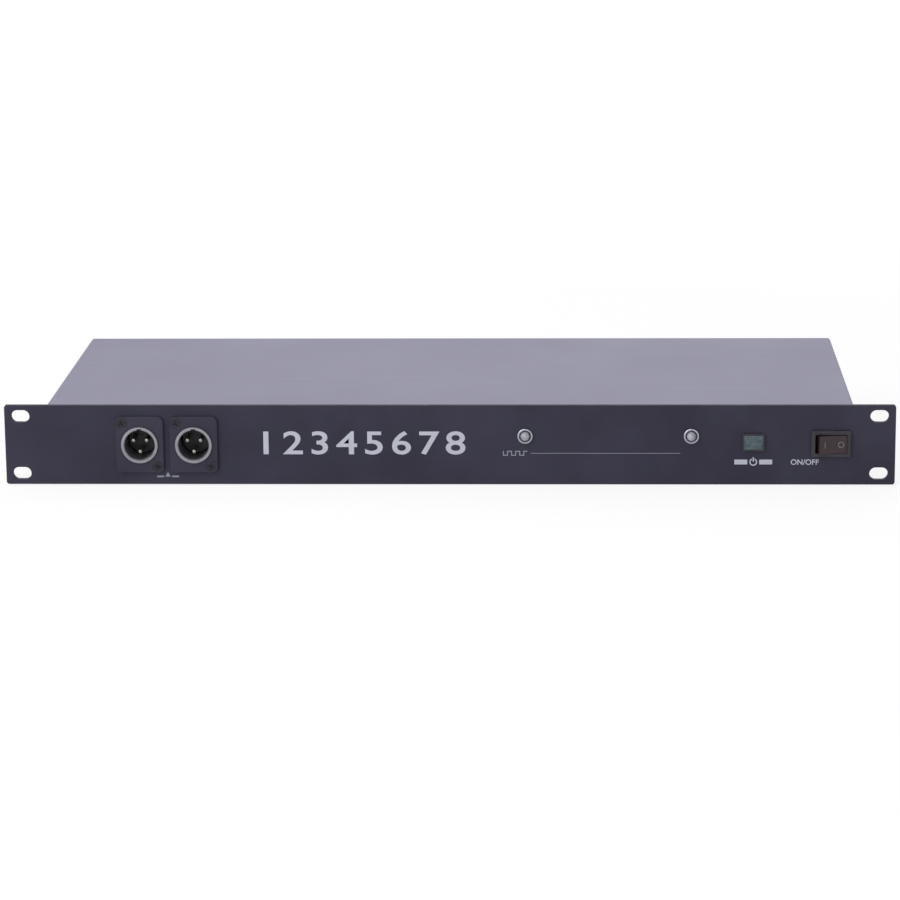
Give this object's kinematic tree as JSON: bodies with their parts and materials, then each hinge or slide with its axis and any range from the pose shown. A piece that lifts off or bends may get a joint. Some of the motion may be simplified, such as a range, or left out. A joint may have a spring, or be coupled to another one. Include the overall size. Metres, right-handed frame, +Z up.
{
  "type": "dmx splitter",
  "caption": "Flat steel case behind an eared rack panel, with plug inputs, lamps and a rocker switch in front and latching sockets and a fused mains inlet behind.",
  "frame": {"origin": "middle of the underside of the whole splitter's box", "axes": "+X along the rack panel to the right as seen from the front, +Y from the front panel to the sockets at the rear, +Z up"},
  "size_m": [0.4826, 0.1928, 0.044],
  "materials": {
    "panel_black": "fine satin powder coat, near black",
    "cover_grey": "satin grey paint",
    "tray_grey": "satin grey paint",
    "rear_grey": "satin mid-grey paint",
    "screw_steel": "zinc plated",
    "plug_shell": "black shell, its collar bright nickel",
    "socket_shell": "satin nickel on die-cast metal",
    "contact_insert": "black moulded insert with plated contacts",
    "latch_metal": "bright nickel plate",
    "inlet_black": "black moulding",
    "blade_metal": "nickel plated brass",
    "fuse_glass": "clear tube with metal caps",
    "switch_black": "black moulding",
    "rocker_red": "dark red moulding, unlit",
    "bezel_chrome": "polished",
    "signal_lens": "milky clear lens",
    "power_lens": "grey-green translucent lens",
    "plate_silver": "blank satin plate",
    "circuit_green": "solder mask over glass laminate",
    "transformer_iron": "varnished laminations and taped coil",
    "ribbon_grey": "ribbed flat cable",
    "loom_black": "sleeved leads"
  },
  "bodies": {
    "chassis": {"front_panel": "panel_black", "base_tray": "tray_grey", "rear_panel": "rear_grey", "top_cover": "cover_grey", "cover_screw_1": "screw_steel", "cover_screw_2": "screw_steel", "cover_screw_3": "screw_steel", "cover_screw_4": "screw_steel", "input_shell_1": "plug_shell", "input_contacts_1": "contact_insert", "input_shell_2": "plug_shell", "input_contacts_2": "contact_insert", "output_shell_1": "socket_shell", "output_contacts_1": "contact_insert", "output_shell_2": "socket_shell", "output_contacts_2": "contact_insert", "output_shell_3": "socket_shell", "output_contacts_3": "contact_insert", "output_shell_4": "socket_shell", "output_contacts_4": "contact_insert", "output_shell_5": "socket_shell", "output_contacts_5": "contact_insert", "output_shell_6": "socket_shell", "output_contacts_6": "contact_insert", "output_shell_7": "socket_shell", "output_contacts_7": "contact_insert", "output_shell_8": "socket_shell", "output_contacts_8": "contact_insert", "output_shell_9": "socket_shell", "output_contacts_9": "contact_insert", "output_shell_10": "socket_shell", "output_contacts_10": "contact_insert", "inlet_housing": "inlet_black", "inlet_contacts": "blade_metal", "switch_frame": "switch_black", "signal_bezel_1": "bezel_chrome", "signal_lens_1": "signal_lens", "signal_bezel_2": "bezel_chrome", "signal_lens_2": "signal_lens", "power_lamp": "power_lens", "rating_plate": "plate_silver", "output_board": "circuit_green", "input_board": "circuit_green", "power_board": "circuit_green", "transformer": "transformer_iron", "signal_ribbon": "ribbon_grey", "mains_loom": "loom_black"},
    "latch_1": {"output_latch_1": "latch_metal"},
    "latch_2": {"output_latch_2": "latch_metal"},
    "latch_3": {"output_latch_3": "latch_metal"},
    "latch_4": {"output_latch_4": "latch_metal"},
    "latch_5": {"output_latch_5": "latch_metal"},
    "latch_6": {"output_latch_6": "latch_metal"},
    "latch_7": {"output_latch_7": "latch_metal"},
    "latch_8": {"output_latch_8": "latch_metal"},
    "latch_9": {"output_latch_9": "latch_metal"},
    "latch_10": {"output_latch_10": "latch_metal"},
    "rocker": {"switch_rocker": "rocker_red"},
    "fuse_holder": {"fuse_drawer": "inlet_black", "fuse_link": "fuse_glass"}
  },
  "joints": [
    {"name": "latch_1_press", "type": "slide", "parent": "chassis", "child": "latch_1", "axis": [0, -1, 0], "range_m": [0, 0.0015], "stiffness_N_per_m": 500},
    {"name": "latch_2_press", "type": "slide", "parent": "chassis", "child": "latch_2", "axis": [0, -1, 0], "range_m": [0, 0.0015], "stiffness_N_per_m": 500},
    {"name": "latch_3_press", "type": "slide", "parent": "chassis", "child": "latch_3", "axis": [0, -1, 0], "range_m": [0, 0.0015], "stiffness_N_per_m": 500},
    {"name": "latch_4_press", "type": "slide", "parent": "chassis", "child": "latch_4", "axis": [0, -1, 0], "range_m": [0, 0.0015], "stiffness_N_per_m": 500},
    {"name": "latch_5_press", "type": "slide", "parent": "chassis", "child": "latch_5", "axis": [0, -1, 0], "range_m": [0, 0.0015], "stiffness_N_per_m": 500},
    {"name": "latch_6_press", "type": "slide", "parent": "chassis", "child": "latch_6", "axis": [0, -1, 0], "range_m": [0, 0.0015], "stiffness_N_per_m": 500},
    {"name": "latch_7_press", "type": "slide", "parent": "chassis", "child": "latch_7", "axis": [0, -1, 0], "range_m": [0, 0.0015], "stiffness_N_per_m": 500},
    {"name": "latch_8_press", "type": "slide", "parent": "chassis", "child": "latch_8", "axis": [0, -1, 0], "range_m": [0, 0.0015], "stiffness_N_per_m": 500},
    {"name": "latch_9_press", "type": "slide", "parent": "chassis", "child": "latch_9", "axis": [0, -1, 0], "range_m": [0, 0.0015], "stiffness_N_per_m": 500},
    {"name": "latch_10_press", "type": "slide", "parent": "chassis", "child": "latch_10", "axis": [0, -1, 0], "range_m": [0, 0.0015], "stiffness_N_per_m": 500},
    {"name": "power_switch", "type": "hinge", "parent": "chassis", "child": "rocker", "pos_m": [0.2066, -0.08941, 0.02288], "axis": [0, 0, -1], "range_deg": [0, 20]},
    {"name": "fuse_drawer_pull", "type": "slide", "parent": "chassis", "child": "fuse_holder", "axis": [0, 1, 0], "range_m": [0, 0.018]}
  ]
}
